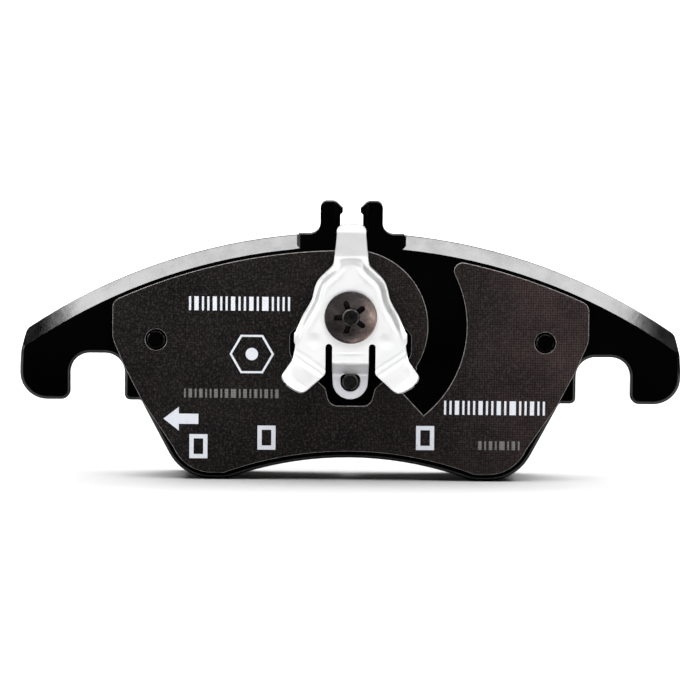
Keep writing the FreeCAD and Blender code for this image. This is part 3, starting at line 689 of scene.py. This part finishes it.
def underlay():
    look = Look("underlayer_composite")
    base = look.ramp(look.noise(420, 5, 0.65), (0.3, (0.10, 0.085, 0.065)),
                     (0.7, (0.19, 0.165, 0.13)))
    strands = look.noise(1600, 4, 0.7, 2.0, look.stretched(1, 0.4, 1))
    fibres = look.ramp(strands, (0.55, 0.0), (0.7, 0.7))
    look.set(Base_Color=look.blend(fibres, base, (0.33, 0.29, 0.22)))
    look.set(Roughness=look.ramp(look.noise(900, 3), (0.3, 0.7), (0.7, 0.9)))
    look.set(Normal=look.relief(look.noise(1400, 5, 0.7), 0.5, 0.0002))
    return look.mat


def paper():
    look = Look("floor_white")
    look.set(Base_Color=look.ramp(look.noise(30, 3), (0.3, 0.62), (0.7, 0.64)))
    look.set(Roughness=look.ramp(look.noise(50, 2), (0.3, 0.9), (0.7, 1.0)))
    look.set(Specular_IOR_Level=0.0)
    x, y = look.split("XY")
    square = look.math("ADD", look.math("MULTIPLY", x, x), look.math("MULTIPLY", y, y))
    away = look.math("POWER", square, 0.5)
    glow = look.ramp(away, (0.16, 0.0), (0.34, 0.5), (0.6, 0.95))
    look.set(Emission_Color=glow)
    look.shader.inputs["Emission Strength"].default_value = 1.0
    return look.mat


def velvet():
    """Black cloth of the card that darkens one side of the reflections."""
    look = Look("flag_black")
    look.set(Base_Color=look.ramp(look.noise(80, 3), (0.3, 0.002), (0.7, 0.005)))
    look.set(Roughness=look.ramp(look.noise(200, 2), (0.3, 0.9), (0.7, 1.0)))
    look.set(Specular_IOR_Level=look.ramp(look.noise(20, 2), (0.3, 0.0), (0.7, 0.02)))
    return look.mat


def wear(piece, material):
    piece.data.materials.clear()
    piece.data.materials.append(material)


# ---------------------------------------------------------------- the pieces
paint = plate_paint()
finishes = {
    "backing_plate": paint,
    "bond_film": rubber("bond_film_amber", (0.05, 0.03, 0.015), (0.09, 0.055, 0.03)),
    "underlayer": underlay(),
    "friction_lining": friction(),
    "shim_adhesive": rubber("shim_adhesive_dark", (0.012, 0.011, 0.010), (0.03, 0.027, 0.024)),
    "shim_rubber_back": rubber("shim_rubber_back_black", (0.008, 0.008, 0.008), (0.02, 0.019, 0.019)),
    "shim_core": steel_edge(),
    "shim_facing": shim_coat(),
    "shim_pin_left": paint,
    "shim_pin_right": paint,
    "clip_stud": pin_steel("stud_black_oxide", STUD_Z, 2.5),
    "locating_pin": pin_steel("pin_black_oxide", LOCATOR_Z, 2.35),
    "star_washer": washer_steel(),
    "white_marks": ink("ink_white", (0.62, 0.64, 0.69), 0.50),
    "grey_marks": ink("ink_grey", (0.14, 0.135, 0.135), 0.30),
}
for name, material in finishes.items():
    wear(nodes[name], material)


def soften(name, width):
    """Small rounding on the sharp edges of a CAD node."""
    weld = nodes[name].modifiers.new("weld", "WELD")
    weld.merge_threshold = 1e-6
    bevel = nodes[name].modifiers.new("soft_edges", "BEVEL")
    bevel.width = width * MM
    bevel.segments = 2
    bevel.limit_method = "ANGLE"
    bevel.angle_limit = math.radians(32)
    even = nodes[name].modifiers.new("even_normals", "WEIGHTED_NORMAL")
    even.mode = "FACE_AREA"
    even.weight = 90


SOFT_EDGES = {
    "backing_plate": 0.22,
    "star_washer": 0.08,
    "friction_lining": 0.25,
    "underlayer": 0.15,
}
for name, width in SOFT_EDGES.items():
    soften(name, width)

base, tongue, legs = build_clip()
zinc_finish = zinc()
for piece in [base, tongue] + legs:
    wear(piece, zinc_finish)
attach(base, "pad")
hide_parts("clip_base")
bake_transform(tongue)
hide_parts("clip_tongue")
for leg, side in zip(legs, ("right", "left")):
    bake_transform(leg)
    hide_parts("clip_leg_" + side)


# ---------------------------------------------------------------- studio
def sheet_of(name, corners, material):
    """Flat piece of the studio."""
    mesh = bpy.data.meshes.new(name)
    mesh.from_pydata(corners, [], [(0, 1, 2, 3)])
    made = bpy.data.objects.new(name, mesh)
    bpy.context.scene.collection.objects.link(made)
    wear(made, material)
    return made


def softbox(name, place, aim, width, height, radiance):
    """Rectangular soft light of the given brightness."""
    data = bpy.data.lights.new(name, "AREA")
    data.shape = "RECTANGLE"
    data.size = width
    data.size_y = height
    data.energy = 4 * width * height * radiance
    made = bpy.data.objects.new(name, data)
    made.location = place
    made.rotation_mode = "QUATERNION"
    made.rotation_quaternion = (Vector(aim) - Vector(place)).to_track_quat("-Z", "Y")
    made.visible_camera = False
    bpy.context.scene.collection.objects.link(made)
    return made


def light_only(light, pieces):
    """Keep a light to some of the pieces."""
    lit = bpy.data.collections.new(light.name + "_pieces")
    for piece in pieces:
        lit.objects.link(piece)
    light.light_linking.receiver_collection = lit


FAR = 20
floor = sheet_of("floor", [(-FAR, -FAR, 0), (FAR, -FAR, 0), (FAR, FAR, 0), (-FAR, FAR, 0)], paper())

# Seen only in reflections, as the dark side of the studio.
FLAG_X = 0.36
FLAG_TOP = 0.24
flag = sheet_of("flag_right", [(FLAG_X, -0.35, 0), (FLAG_X, 0.20, 0), (FLAG_X, 0.20, FLAG_TOP),
                               (FLAG_X, -0.35, FLAG_TOP)], velvet())
flag.visible_camera = False
flag.visible_diffuse = False
flag.visible_shadow = False
pad_middle = (0, 0, 0.045)
key = softbox("key_overhead", (0, -0.20, 0.56), pad_middle, 0.92, 0.12, 13.0)
left_soft = softbox("left_soft", (-0.8, -0.15, 0.30), pad_middle, 0.8, 0.5, 1.8)
right_front = softbox("right_front", (0.55, -0.45, 0.35), pad_middle, 0.3, 0.3, 2.5)
front_fill = softbox("front_fill", (0.1, -0.7, 0.8), pad_middle, 0.9, 0.5, 1.5)
clip_light = softbox("clip_light", (0, -0.38, 0.72), pad_middle, 0.6, 0.4, 7.0)
top_soft = softbox("top_soft", (0.1, 0.22, 0.9), (0.1, 0.22, 0), 1.6, 1.3, 4.0)
clip_pieces = [base, tongue] + legs
pad_pieces = list(nodes.values()) + clip_pieces
light_only(top_soft, [floor])
light_only(key, nodes.values())
light_only(clip_light, clip_pieces)
for light in (left_soft, right_front, front_fill):
    light_only(light, pad_pieces)

world = bpy.data.worlds.new("studio")
bpy.context.scene.world = world
world.use_nodes = True
tree = world.node_tree
aim = tree.nodes.new("ShaderNodeTexCoord")
axes = tree.nodes.new("ShaderNodeSeparateXYZ")
tree.links.new(aim.outputs["Generated"], axes.inputs[0])
front = tree.nodes.new("ShaderNodeMapRange")
front.interpolation_type = "SMOOTHSTEP"
front.inputs["From Min"].default_value = -0.2
front.inputs["From Max"].default_value = 0.5
front.inputs["To Min"].default_value = 0.003
front.inputs["To Max"].default_value = 0.3
tree.links.new(axes.outputs["Y"], front.inputs["Value"])
tree.links.new(front.outputs["Result"], tree.nodes["Background"].inputs["Strength"])
tree.nodes["Background"].inputs["Color"].default_value = (0.95, 0.97, 1.0, 1)

LENS = 211.3
ELEVATION = math.radians(6.0)
ROLL = math.radians(0.52)
CAMERA_AWAY = 1.2
camera_data = bpy.data.cameras.new("camera")
camera_data.sensor_width = 36
camera_data.lens = LENS
camera_data.clip_end = 100
camera = bpy.data.objects.new("camera", camera_data)
bpy.context.scene.collection.objects.link(camera)
bpy.context.scene.camera = camera
look_at = Vector((-0.15, PLATE_Y, 38.35)) * MM
back_off = Vector((0, -math.cos(ELEVATION), math.sin(ELEVATION)))
camera.location = look_at + back_off * CAMERA_AWAY
camera.rotation_mode = "QUATERNION"
towards_pad = (-back_off).to_track_quat("-Z", "Y")
camera.rotation_quaternion = towards_pad @ Quaternion((0, 0, 1), ROLL)
bpy.context.scene.view_settings.view_transform = "Standard"
